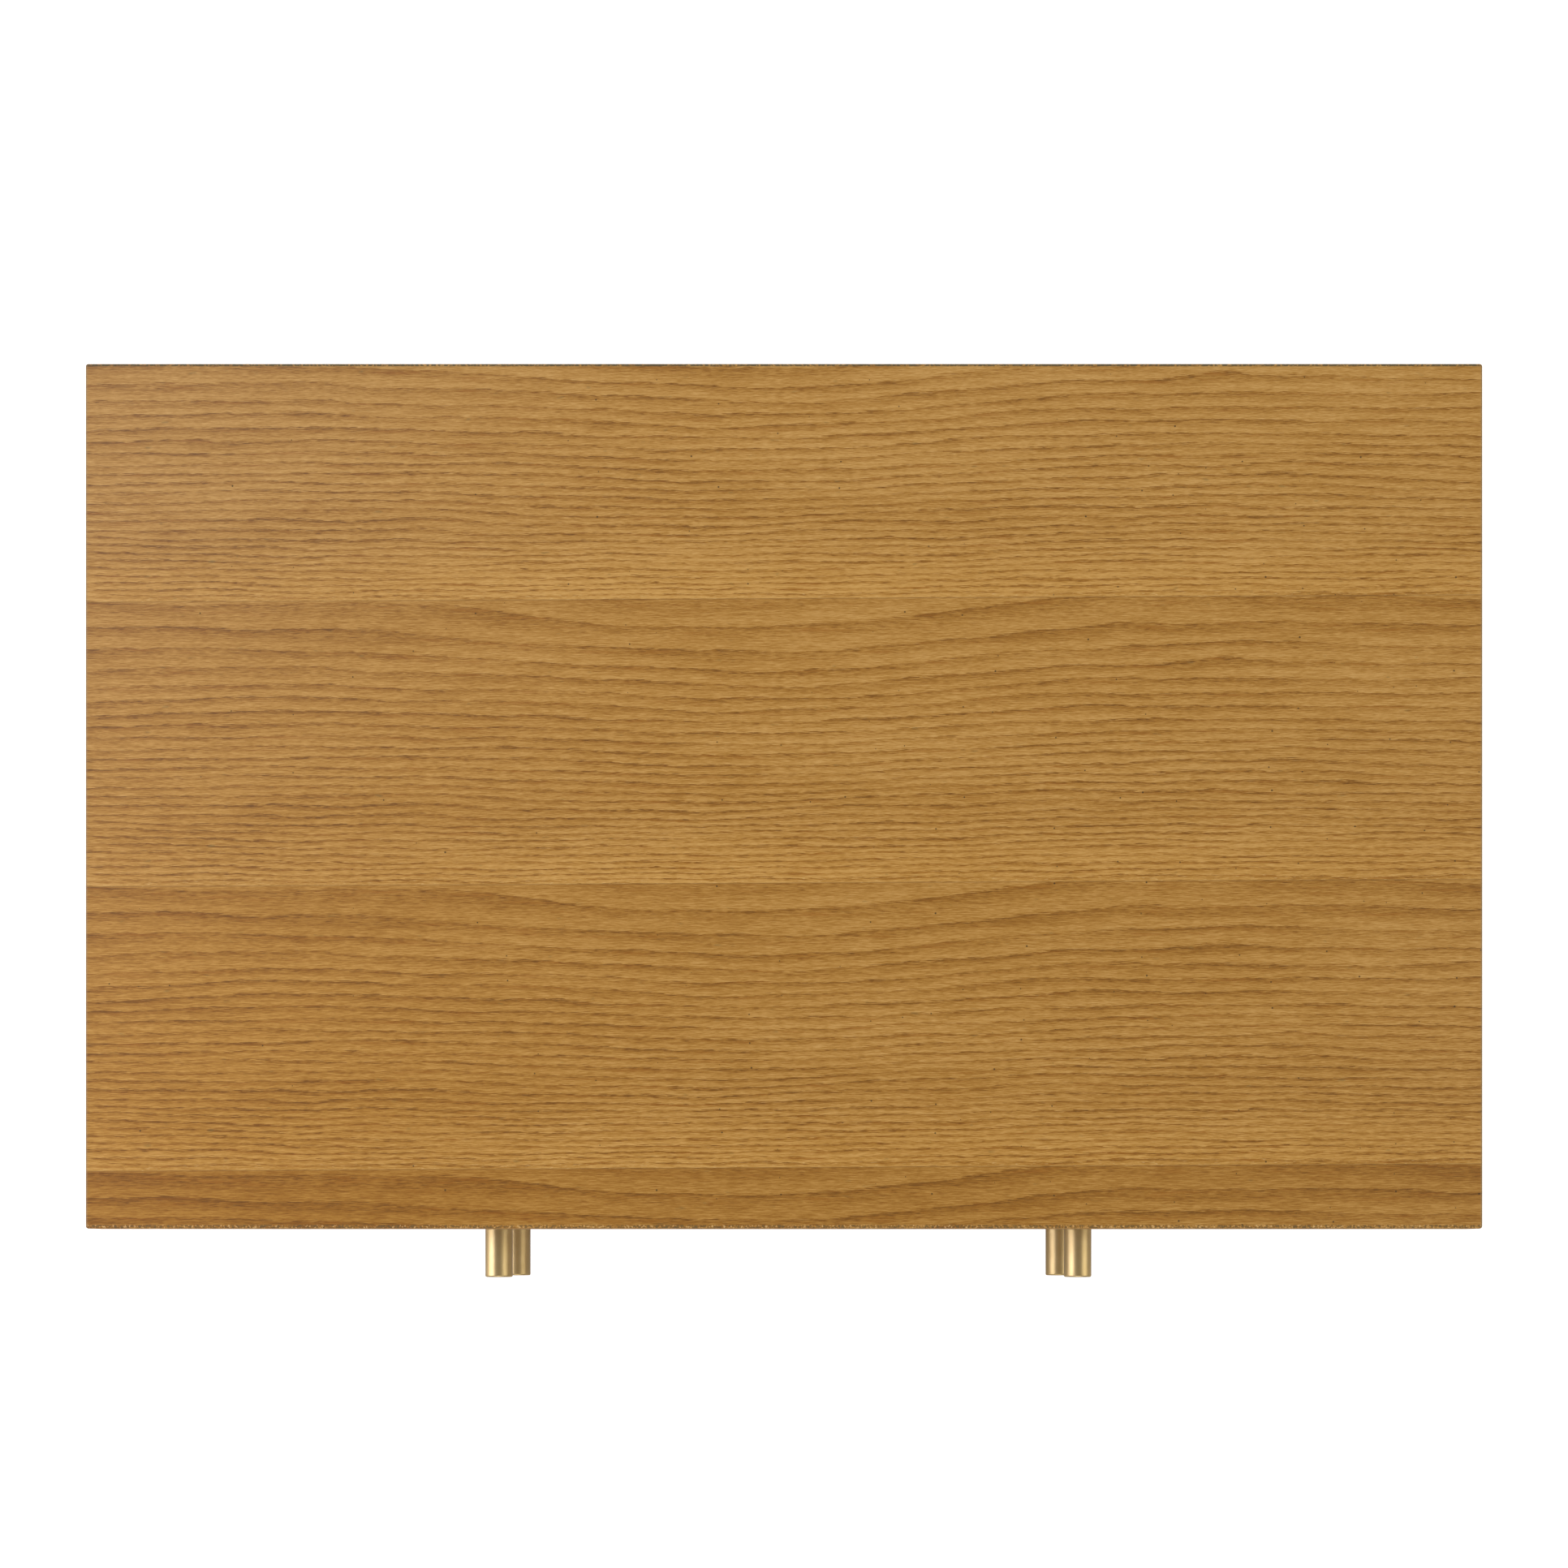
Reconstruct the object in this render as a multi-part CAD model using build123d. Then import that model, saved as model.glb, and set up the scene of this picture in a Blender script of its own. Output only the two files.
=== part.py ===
from build123d import *

import os
from collections import namedtuple

# Two-drawer type case: an oak-veneered cabinet whose drawers are compartmented trays for metal type.
# Millimetres, +Z up, +X to the right. The drawers open towards -Y. The origin is on the floor, under the
# middle of the whole object, knobs included.

# ---- top board ----
TOP_WIDTH = 730.0
TOP_DEPTH = 452.0
TOP_THICKNESS = 20.0
OVERHANG = 4.0  # of the top, past the cabinet's front and sides
VENEER = 0.6
LIPPING = 2.0  # oak strips on the edges of the boards
EASED_EDGE = 0.8
TOP_CORNER = 1.5  # radius of the top's four upright corners
LEAF_WIDTH = 148.6  # one leaf of the top's slip-matched veneer
BACK_LEAF_WIDTH = 122.8  # the leaf at the back is cut down
LEAF_SLANT = 4.0  # rise of each leaf joint over the width of the top

# ---- cabinet ----
BOARD = 18.0
BACK_BOARD = 6.0
BACK_RABBET = 10.0
BOTTOM_RABBET = 8.0  # height of the bottom board left under the back board
PAD_HEIGHT = 3.0
FOOT_HEIGHT = 22.0
FOOT_TOP_RADIUS = 19.0
FOOT_BASE_RADIUS = 16.0
FOOT_INSET_X = 41.0
FOOT_INSET_Y = 34.0
PAD_INSET = 1.5  # of the felt, inside the foot's edge

# ---- drawers ----
FRONT_HEIGHT = 70.0
FRONT_GAP = 3.0  # above, below and between the fronts
FRONT_SIDE_GAP = 2.0
FRONT_BOARD = 18.0
TRAY_LENGTH = 400.0
TRAY_HEIGHT = 46.0
TRAY_WALL = 12.0
TRAY_RISE = 10.0  # tray above the lower edge of its front
TRAY_BOTTOM = 4.0
BOTTOM_RISE = 8.0
GROOVE_DEPTH = 5.0
GLUE_GAP = 0.1
TAILS = 3  # dovetails at each corner of a tray
TAIL_NARROW = 4.5  # half width of a tail where it leaves its board
TAIL_WIDE = 6.0

# ---- partitions, laid out as a California job case ----
SECTION_BAR = 8.0
PARTITION = 2.4
PARTITION_HEIGHT = 28.0
PARTITION_ROUND = 0.6
BAR_HEIGHT = 30.0
BAR_ROUND = 1.5
SLOT_PLAY = 0.05

# ---- knobs ----
KNOB_RADIUS = 7.5
KNOB_LENGTH = 30.0
KNOB_SPACING = 320.0
KNOB_OFFSET = 2.4  # of each pair, to the right of the drawer's middle
KNOB_TIP_ROUND = 0.9
KNOB_BASE_ROUND = 0.3
KNOB_SCREW_RADIUS = 2.0
KNOB_SCREW_LENGTH = 35.0
KNOB_SCREW_HEAD_RADIUS = 4.0
KNOB_SCREW_HEAD = 2.6
COUNTERBORE = 3.2
COUNTERBORE_PLAY = 0.5

# ---- ball-bearing drawer slides: three nested channels with two ball cages ----
SLIDE_SPACE = 12.7  # between a tray and the cabinet's side
SLIDE_LENGTH = 398.0
SLIDE_SET_BACK = 1.0  # behind the drawer front
STEEL = 1.2
BEND_ROUND = 1.5  # outside of a channel's bends
OUTER_HALF_HEIGHT = 17.5
OUTER_FLANGE_END = 10.0  # all slide widths are measured from the cabinet's side
MIDDLE_WEB = 2.2
MIDDLE_FLANGE_END = 11.0
INNER_FLANGE_START = 4.5
BALL_RADIUS = 1.75
BALL_SINK = 0.48  # of a ball into the steel on each side
BALL_PLAY = 0.02
OUTER_RACE = 5.2
INNER_RACE = 8.6
CAGE_STRIP = 0.7
CAGE_WEB = 0.5
OUTER_CAGE_START, OUTER_CAGE_END = 1.45, 8.0
INNER_CAGE_START, INNER_CAGE_END = 3.65, 10.6
CAGE_LENGTH = 140.0
CAGE_SET_BACK = 122.0  # from the front end of the slide to the front end of the cage
BALLS_PER_ROW = 5
CAGE_HOLE_PLAY = 0.1

# ---- fasteners ----
DOWEL_RADIUS = 4.0
DOWEL_LENGTH = 32.0
DOWEL_IN_SIDE = 11.5
DOWEL_IN_TOP = 12.5
DOWEL_END_ROUND = 0.8
DOWEL_SPACING = 140.0
BORE_PLAY = 0.05
BORE_EXTRA = 1.0
OVERCUT = 1.0  # how far a cutting tool runs past the face it cuts

Screw = namedtuple("Screw", "radius head_radius head_height length")
SLIDE_SCREW = Screw(1.75, 3.0, STEEL, 12.0)
BACK_SCREW = Screw(1.5, 3.0, 1.6, 20.0)
FRONT_SCREW = Screw(2.0, 4.0, 2.2, 25.0)
FOOT_SCREW = Screw(2.5, 4.8, 2.8, 32.0)
FOOT_COUNTERBORE = 4.0
FOOT_COUNTERBORE_PLAY = 1.2
RECESS_WIDTH = 0.25  # of a screw's cross recess, as a share of the head's radius
RECESS_DEPTH = 0.6  # as a share of the head's height
BACK_SCREW_HEIGHTS = (0.12, 0.5, 0.88)  # as shares of the opening's height
BACK_SCREW_XS = (-0.7, -0.25, 0.25, 0.7)  # as shares of half the opening's width
SLIDE_SCREW_SETBACKS = (24.0, 194.0, 374.0)  # behind the front of the tray
FRONT_SCREW_XS = (-260.0, -60.0, 60.0, 260.0)

# ---- places worked out from the sizes above ----
BACK_Y = (TOP_DEPTH - OVERHANG + KNOB_LENGTH) / 2
TOP_FRONT_Y = BACK_Y - TOP_DEPTH
FRONT_Y = TOP_FRONT_Y + OVERHANG  # front plane of the cabinet and of the drawer fronts
DOWEL_YS = tuple((FRONT_Y + BACK_Y) / 2 + n * DOWEL_SPACING for n in (-1, 0, 1))
SIDE_X = TOP_WIDTH / 2 - OVERHANG  # outer face of the right side board
INNER_X = SIDE_X - BOARD
CASE_Z = PAD_HEIGHT + FOOT_HEIGHT  # underside of the cabinet
FLOOR_Z = CASE_Z + BOARD
TOP_Z = FLOOR_Z + 3 * FRONT_GAP + 2 * FRONT_HEIGHT  # underside of the top
TRAY_X = INNER_X - SLIDE_SPACE  # outer face of a tray
TRAY_INNER_X = TRAY_X - TRAY_WALL
TRAY_Y = FRONT_Y + FRONT_BOARD  # front of a tray, where the drawer front is screwed on
TRAY_BACK_Y = TRAY_Y + TRAY_LENGTH
TRAY_INNER_Y = TRAY_Y + TRAY_WALL
TRAY_INNER_BACK_Y = TRAY_BACK_Y - TRAY_WALL
SLIDE_SCREW_YS = tuple(TRAY_Y + setback for setback in SLIDE_SCREW_SETBACKS)
MIDDLE_HALF_HEIGHT = OUTER_HALF_HEIGHT - STEEL - 2 * (BALL_RADIUS - BALL_SINK)
INNER_HALF_HEIGHT = MIDDLE_HALF_HEIGHT - STEEL - 2 * (BALL_RADIUS - BALL_SINK)
OUTER_BALL_W = MIDDLE_HALF_HEIGHT + BALL_RADIUS - BALL_SINK  # ball centres, from the slide's middle
INNER_BALL_W = INNER_HALF_HEIGHT + BALL_RADIUS - BALL_SINK
SECTION_WIDTH = (2 * TRAY_INNER_X - 2 * SECTION_BAR) / 3
FRONT_ZS = {
    "lower": FLOOR_Z + FRONT_GAP,
    "upper": FLOOR_Z + 2 * FRONT_GAP + FRONT_HEIGHT,
}

# A section of the tray: its width in units, its depth in rows, the strips that run front to back as
# (unit, first row, last row) and the strips that run across as (row, first unit, last unit). Row 0 is at the
# back.
Section = namedtuple("Section", "units rows lengthwise crosswise")
SECTIONS = (
    Section(
        units=6,
        rows=7,
        lengthwise=((1, 0, 7), (2, 0, 7), (3, 0, 1), (4, 0, 7), (5, 0, 1)),
        crosswise=((1, 0, 6), (3, 0, 6), (5, 0, 6), (2, 0, 1), (4, 0, 1), (6, 0, 1)),
    ),
    Section(
        units=10.5,
        rows=7,
        lengthwise=(
            (2.5, 0, 7), (3.5, 0, 1), (4.5, 0, 7), (5.5, 0, 1), (5.5, 3, 5),
            (6.5, 0, 7), (7.5, 0, 7), (8.5, 0, 7), (9.5, 0, 5),
        ),
        crosswise=((1, 2.5, 10.5), (3, 0, 10.5), (5, 0, 10.5), (2, 8.5, 10.5), (6, 6.5, 8.5)),
    ),
    Section(
        units=7,
        rows=5,
        lengthwise=tuple((unit, 0, 5) for unit in range(1, 7)),
        crosswise=tuple((row, 0, 7) for row in range(1, 5)),
    ),
)


# ---- small builders ----
FROM_BASE = (Align.CENTER, Align.CENTER, Align.MIN)


def block(x, y, z):
    """A box from three (low, high) pairs."""
    centre = [(low + high) / 2 for low, high in (x, y, z)]
    return Pos(*centre) * Box(x[1] - x[0], y[1] - y[0], z[1] - z[0])


def round_top(body, axis, radius):
    """Rounds those edges of a box's top face that run along the axis."""
    return fillet(body.faces().sort_by(Axis.Z)[-1].edges().filter_by(axis), radius)


def rod(radius, start, direction, length):
    return Plane(origin=start, z_dir=direction) * Cylinder(radius, length, align=FROM_BASE)


def group(solids):
    return Compound(children=list(solids))


def cut(body, tools):
    for tool in tools:
        body = body - tool
    return body


def mirrored(shape):
    """The same piece on the other side of the cabinet."""
    return mirror(shape, about=Plane.YZ)


def flat_screw(kind, start, direction):
    """A countersunk screw whose head is flush with start, with a cross recess."""
    plane = Plane(origin=start, z_dir=direction)
    body = Cone(kind.head_radius, kind.radius, kind.head_height, align=FROM_BASE)
    body += Cylinder(kind.radius, kind.length, align=FROM_BASE)
    slot_width, slot_depth = kind.head_radius * RECESS_WIDTH, kind.head_height * RECESS_DEPTH
    body -= Box(kind.head_radius, slot_width, slot_depth, align=FROM_BASE)
    body -= Box(slot_width, kind.head_radius, slot_depth, align=FROM_BASE)
    return plane * body


def flat_screw_bore(kind, start, direction):
    """What the boards lose to a countersunk screw."""
    plane = Plane(origin=start, z_dir=direction)
    head = Cone(kind.head_radius + BORE_PLAY, kind.radius + BORE_PLAY, kind.head_height, align=FROM_BASE)
    return plane * (head + Cylinder(kind.radius + BORE_PLAY, kind.length + BORE_EXTRA, align=FROM_BASE))


def save(shape, name):
    export_step(shape, os.path.join("parts", name + ".step"))


# ---- places of the fasteners, shared by the fasteners and the boards they hold ----
def bottom_dowel_places():
    z = CASE_Z + BOARD / 2
    return [((sign * (INNER_X + DOWEL_IN_SIDE), y, z), (-sign, 0, 0)) for sign in (-1, 1) for y in DOWEL_YS]


def top_dowel_places():
    x = INNER_X + BOARD / 2
    return [((sign * x, y, TOP_Z + DOWEL_IN_TOP), (0, 0, -1)) for sign in (-1, 1) for y in DOWEL_YS]


def back_screw_places():
    side_x = INNER_X + BACK_RABBET / 2
    bottom_z = FLOOR_Z - BACK_RABBET / 2
    heights = [FLOOR_Z + (TOP_Z - FLOOR_Z) * share for share in BACK_SCREW_HEIGHTS]
    along = [INNER_X * share for share in BACK_SCREW_XS]
    points = [(sign * side_x, BACK_Y, z) for sign in (-1, 1) for z in heights]
    return [(point, (0, -1, 0)) for point in points + [(x, BACK_Y, bottom_z) for x in along]]


def foot_places():
    xs = (-SIDE_X + FOOT_INSET_X, SIDE_X - FOOT_INSET_X)
    ys = (FRONT_Y + FOOT_INSET_Y, BACK_Y - FOOT_INSET_Y)
    return [(x, y) for x in xs for y in ys]


def slide_middle(row):
    """Height of the middle of a row's slides."""
    return FRONT_ZS[row] + TRAY_RISE + TRAY_HEIGHT / 2


def outer_slide_screw_places(row):
    """In the left slide; the right one is its mirror image."""
    return [((-INNER_X + STEEL, y, slide_middle(row)), (-1, 0, 0)) for y in SLIDE_SCREW_YS]


def inner_slide_screw_places(row):
    return [((-TRAY_X - STEEL, y, slide_middle(row)), (1, 0, 0)) for y in SLIDE_SCREW_YS]


def front_screw_places(row):
    return [((x, TRAY_INNER_Y, slide_middle(row)), (0, -1, 0)) for x in FRONT_SCREW_XS]


def knob_places(row):
    z = FRONT_ZS[row] + FRONT_HEIGHT / 2
    return {"left": (KNOB_OFFSET - KNOB_SPACING / 2, z), "right": (KNOB_OFFSET + KNOB_SPACING / 2, z)}


# ---- top board ----
def top_outline(inset):
    """(x, y) spans of the top board, that much inside its edges."""
    half = TOP_WIDTH / 2 - inset
    return (-half, half), (TOP_FRONT_Y + inset, BACK_Y - inset)


def top_core():
    core = block(*top_outline(LIPPING), (TOP_Z + VENEER, TOP_Z + TOP_THICKNESS - VENEER))
    return cut(core, top_dowel_bores())


def top_backing_veneer():
    return cut(block(*top_outline(LIPPING), (TOP_Z, TOP_Z + VENEER)), top_dowel_bores())


def leaf_joint(number, x):
    """y of a leaf joint at x. Joint 0 is the one nearest the back."""
    return BACK_Y - BACK_LEAF_WIDTH - number * LEAF_WIDTH + LEAF_SLANT * x / TOP_WIDTH


def top_face_veneer():
    """Four leaves side by side, from the back to the front."""
    (_, x), (front, back) = top_outline(LIPPING)
    back_ends = [(back, back)] + [(leaf_joint(n, -x), leaf_joint(n, x)) for n in range(3)]
    front_ends = back_ends[1:] + [(front, front)]
    leaves = []
    for (back_left, back_right), (front_left, front_right) in zip(back_ends, front_ends):
        outline = Polyline((-x, front_left), (x, front_right), (x, back_right), (-x, back_left), close=True)
        leaves.append(Pos(0, 0, TOP_Z + TOP_THICKNESS - VENEER) * extrude(make_face(outline), VENEER))
    return group(leaves)


def top_edge_lippings():
    """Front and back strips run the full width; the end strips fit between them."""
    whole, inner = top_outline(0), top_outline(LIPPING)
    ring = block(*whole, (TOP_Z, TOP_Z + TOP_THICKNESS))
    ring = fillet(ring.edges().filter_by(Axis.Z), TOP_CORNER)
    rims = ring.faces().sort_by(Axis.Z)
    ring = fillet(rims[0].edges() + rims[-1].edges(), EASED_EDGE)
    tall = (TOP_Z - OVERCUT, TOP_Z + TOP_THICKNESS + OVERCUT)
    ring -= block(*inner, tall)
    (left, right), (front, back) = whole
    (inner_left, inner_right), (inner_front, inner_back) = inner
    strips = [
        ring & block(whole[0], (front, inner_front), tall),
        ring & block(whole[0], (inner_back, back), tall),
        ring & block((left, inner_left), inner[1], tall),
        ring & block((inner_right, right), inner[1], tall),
    ]
    return group(strips)


# ---- cabinet ----
def dowel(start, direction):
    body = rod(DOWEL_RADIUS, start, direction, DOWEL_LENGTH)
    return chamfer(body.edges().filter_by(GeomType.CIRCLE), DOWEL_END_ROUND)


def dowel_bore(start, direction):
    low = Vector(*start) - Vector(*direction) * BORE_EXTRA
    return rod(DOWEL_RADIUS + BORE_PLAY, low, direction, DOWEL_LENGTH + 2 * BORE_EXTRA)


def top_dowel_bores():
    return [dowel_bore(*place) for place in top_dowel_places()]


def left_side_board():
    board = block((-SIDE_X, -INNER_X), (FRONT_Y + LIPPING, BACK_Y), (CASE_Z, TOP_Z))
    back_corner = board.edges().filter_by(Axis.Z).group_by(Axis.X)[0].sort_by(Axis.Y)[-1]
    board = fillet(back_corner, EASED_EDGE)
    rabbet = block(
        (-INNER_X - BACK_RABBET, -INNER_X), (BACK_Y - BACK_BOARD, BACK_Y), (CASE_Z + BOTTOM_RABBET, TOP_Z)
    )
    bores = [dowel_bore(*place) for place in bottom_dowel_places() + top_dowel_places() if place[0][0] < 0]
    bores += [flat_screw_bore(BACK_SCREW, *place) for place in back_screw_places() if place[0][0] < -INNER_X]
    for row in FRONT_ZS:
        bores += [flat_screw_bore(SLIDE_SCREW, *place) for place in outer_slide_screw_places(row)]
    return cut(board, [rabbet] + bores)


def bottom_board():
    board = block((-INNER_X, INNER_X), (FRONT_Y + LIPPING, BACK_Y), (CASE_Z, FLOOR_Z))
    rabbet = block((-INNER_X, INNER_X), (BACK_Y - BACK_BOARD, BACK_Y), (CASE_Z + BOTTOM_RABBET, FLOOR_Z))
    bores = [dowel_bore(*place) for place in bottom_dowel_places()]
    in_board = [place for place in back_screw_places() if abs(place[0][0]) < INNER_X]
    bores += [flat_screw_bore(BACK_SCREW, *place) for place in in_board]
    bores += [flat_screw_bore(FOOT_SCREW, *place) for place in foot_screw_places()]
    return cut(board, [rabbet] + bores)


def case_front_lippings():
    y = (FRONT_Y, FRONT_Y + LIPPING)
    left = block((-SIDE_X, -INNER_X), y, (CASE_Z, TOP_Z))
    outer_edge = left.edges().filter_by(Axis.Z).group_by(Axis.Y)[0]
    left = fillet(outer_edge, EASED_EDGE)
    return group([left, mirrored(left), block((-INNER_X, INNER_X), y, (CASE_Z, FLOOR_Z))])


def back_board():
    x = INNER_X + BACK_RABBET - GLUE_GAP
    board = block((-x, x), (BACK_Y - BACK_BOARD, BACK_Y), (CASE_Z + BOTTOM_RABBET + GLUE_GAP, TOP_Z))
    return cut(board, [flat_screw_bore(BACK_SCREW, *place) for place in back_screw_places()])


def foot_screw_places():
    return [((x, y, PAD_HEIGHT + FOOT_COUNTERBORE), (0, 0, 1)) for x, y in foot_places()]


def feet():
    foot = Cone(FOOT_BASE_RADIUS, FOOT_TOP_RADIUS, FOOT_HEIGHT, align=FROM_BASE)
    foot = fillet(foot.edges().group_by(Axis.Z)[0], EASED_EDGE)
    foot -= Cylinder(FOOT_SCREW.head_radius + FOOT_COUNTERBORE_PLAY, FOOT_COUNTERBORE, align=FROM_BASE)
    made = [Pos(x, y, PAD_HEIGHT) * foot for x, y in foot_places()]
    bores = [flat_screw_bore(FOOT_SCREW, *place) for place in foot_screw_places()]
    return group(foot - bore for foot, bore in zip(made, bores))


def foot_pads():
    radius = FOOT_BASE_RADIUS - PAD_INSET
    return group(rod(radius, (x, y, 0), (0, 0, 1), PAD_HEIGHT) for x, y in foot_places())


# ---- drawer slides ----
def slide_span():
    """Front and back ends of a slide's channels when the drawer is shut."""
    front = TRAY_Y + SLIDE_SET_BACK
    return front, front + SLIDE_LENGTH


def channel(web, flange, half_height, y):
    """A C-shaped steel channel on the left side of the cabinet; web and flange are (near, far) widths."""
    x = [tuple(-INNER_X + width for width in pair) for pair in (web, flange)]
    body = block(x[0], y, (-half_height, half_height))
    for sign in (-1, 1):
        edges = sorted((sign * half_height, sign * (half_height - STEEL)))
        body += block(x[1], y, edges)
    web_side = -1 if web[1] == SLIDE_SPACE else 0
    corners = body.edges().filter_by(Axis.Y).group_by(Axis.X)[web_side].sort_by(Axis.Z)
    return fillet([corners[0], corners[-1]], BEND_ROUND)


def races(width, height, y):
    """The two ball tracks at that width, above and below the slide's middle."""
    x = -INNER_X + width
    front, length = y[0] - OVERCUT, y[1] - y[0] + 2 * OVERCUT
    return [rod(BALL_RADIUS + BALL_PLAY, (x, front, sign * height), (0, 1, 0), length) for sign in (-1, 1)]


def slide_channel(kind, row):
    """The left slide's outer, middle or inner channel."""
    y = slide_span()
    if kind == "outer":
        body = channel((0, STEEL), (0, OUTER_FLANGE_END), OUTER_HALF_HEIGHT, y)
        body = cut(body, races(OUTER_RACE, OUTER_BALL_W, y))
        places = outer_slide_screw_places(row)
    elif kind == "middle":
        web = (MIDDLE_WEB, MIDDLE_WEB + STEEL)
        body = channel(web, (MIDDLE_WEB, MIDDLE_FLANGE_END), MIDDLE_HALF_HEIGHT, y)
        body = cut(body, races(OUTER_RACE, OUTER_BALL_W, y) + races(INNER_RACE, INNER_BALL_W, y))
        places = []
    else:
        web = (SLIDE_SPACE - STEEL, SLIDE_SPACE)
        body = channel(web, (INNER_FLANGE_START, SLIDE_SPACE), INNER_HALF_HEIGHT, y)
        body = cut(body, races(INNER_RACE, INNER_BALL_W, y))
        places = inner_slide_screw_places(row)
    body = Pos(0, 0, slide_middle(row)) * body
    return cut(body, [flat_screw_bore(SLIDE_SCREW, *place) for place in places])


def cage_span():
    front = slide_span()[0] + CAGE_SET_BACK
    return front, front + CAGE_LENGTH


def ball_places(width, height):
    pitch = CAGE_LENGTH / BALLS_PER_ROW
    first = cage_span()[0] + pitch / 2
    x = -INNER_X + width
    return [(x, first + n * pitch, sign * height) for sign in (-1, 1) for n in range(BALLS_PER_ROW)]


def ball_cage(start, end, width, height, row):
    """A U-shaped retainer that wraps the channel inside it, with a hole for each ball."""
    x, y = (-INNER_X + start, -INNER_X + end), cage_span()
    reach = height + CAGE_STRIP / 2
    body = block((x[0], x[0] + CAGE_WEB), y, (-reach, reach))
    for sign in (-1, 1):
        body += block(x, y, sorted((sign * reach, sign * (reach - CAGE_STRIP))))
    for bx, by, bz in ball_places(width, height):
        hole = rod(BALL_RADIUS + CAGE_HOLE_PLAY, (bx, by, bz - CAGE_STRIP), (0, 0, 1), 2 * CAGE_STRIP)
        body -= hole
    return Pos(0, 0, slide_middle(row)) * body


def balls(width, height, row):
    return [Pos(x, y, z + slide_middle(row)) * Sphere(BALL_RADIUS) for x, y, z in ball_places(width, height)]


def both_sides(solids):
    return group(list(solids) + [mirrored(solid) for solid in solids])


# ---- drawer trays ----
def tray_z(row):
    low = FRONT_ZS[row] + TRAY_RISE
    return low, low + TRAY_HEIGHT


def tray_bottom_space(row, play):
    """The bottom panel with its tongue in the four walls, grown by play on its faces."""
    x = TRAY_INNER_X + GROOVE_DEPTH - 2 * GLUE_GAP + play
    y0 = TRAY_INNER_Y - GROOVE_DEPTH + 2 * GLUE_GAP - play
    y1 = TRAY_INNER_BACK_Y + GROOVE_DEPTH - 2 * GLUE_GAP + play
    z = tray_z(row)[0] + BOTTOM_RISE
    return block((-x, x), (y0, y1), (z - play, z + TRAY_BOTTOM + play))


def dovetails(row):
    """The tails of the left wall, which run through the front and back walls."""
    low = tray_z(row)[0]
    pitch = TRAY_HEIGHT / TAILS
    tails = []
    for end, root in ((TRAY_Y, TRAY_INNER_Y), (TRAY_BACK_Y, TRAY_INNER_BACK_Y)):
        for n in range(TAILS):
            middle = low + (n + 0.5) * pitch
            outline = Polyline(
                (end, middle - TAIL_WIDE), (end, middle + TAIL_WIDE),
                (root, middle + TAIL_NARROW), (root, middle - TAIL_NARROW), close=True,
            )
            tail = extrude(Plane.YZ * make_face(outline), TRAY_WALL)
            tails.append(Pos(-TRAY_X, 0, 0) * tail)
    return tails


def tray_left_wall(row):
    wall = block((-TRAY_X, -TRAY_INNER_X), (TRAY_INNER_Y, TRAY_INNER_BACK_Y), tray_z(row))
    wall = round_top(wall, Axis.Y, EASED_EDGE)
    for tail in dovetails(row):
        wall += tail
    bores = [flat_screw_bore(SLIDE_SCREW, *place) for place in inner_slide_screw_places(row)]
    return cut(wall, [tray_bottom_space(row, GLUE_GAP)] + bores)


def tray_end_wall(row, y):
    """The front or back wall, with sockets for the tails of both side walls."""
    wall = round_top(block((-TRAY_X, TRAY_X), y, tray_z(row)), Axis.X, EASED_EDGE)
    tails = dovetails(row)
    wall = cut(wall, tails + [mirrored(tail) for tail in tails])
    return wall - tray_bottom_space(row, GLUE_GAP)


def tray_front_wall(row):
    wall = tray_end_wall(row, (TRAY_Y, TRAY_INNER_Y))
    bores = [flat_screw_bore(FRONT_SCREW, *place) for place in front_screw_places(row)]
    return cut(wall, bores + knob_screw_bores(row))


def tray_back_wall(row):
    return tray_end_wall(row, (TRAY_INNER_BACK_Y, TRAY_BACK_Y))


def drawer_front(row):
    x = INNER_X - FRONT_SIDE_GAP
    z = FRONT_ZS[row]
    board = block((-x, x), (FRONT_Y, TRAY_Y), (z, z + FRONT_HEIGHT))
    board = fillet(board.faces().sort_by(Axis.Y)[0].edges(), EASED_EDGE)
    bores = [flat_screw_bore(FRONT_SCREW, *place) for place in front_screw_places(row)]
    return cut(board, bores + knob_screw_bores(row))


# ---- knobs ----
def knob(x, z):
    body = rod(KNOB_RADIUS, (x, FRONT_Y, z), (0, -1, 0), KNOB_LENGTH)
    rims = body.edges().filter_by(GeomType.CIRCLE).sort_by(Axis.Y)
    body = fillet(rims[0], KNOB_TIP_ROUND)
    rims = body.edges().filter_by(GeomType.CIRCLE).sort_by(Axis.Y)
    body = fillet(rims[-1], KNOB_BASE_ROUND)
    return body - knob_screw_shank(x, z, BORE_PLAY)


def knob_screw_shank(x, z, play):
    start = (x, TRAY_INNER_Y - COUNTERBORE, z)
    return rod(KNOB_SCREW_RADIUS + play, start, (0, -1, 0), KNOB_SCREW_LENGTH + play)


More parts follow.
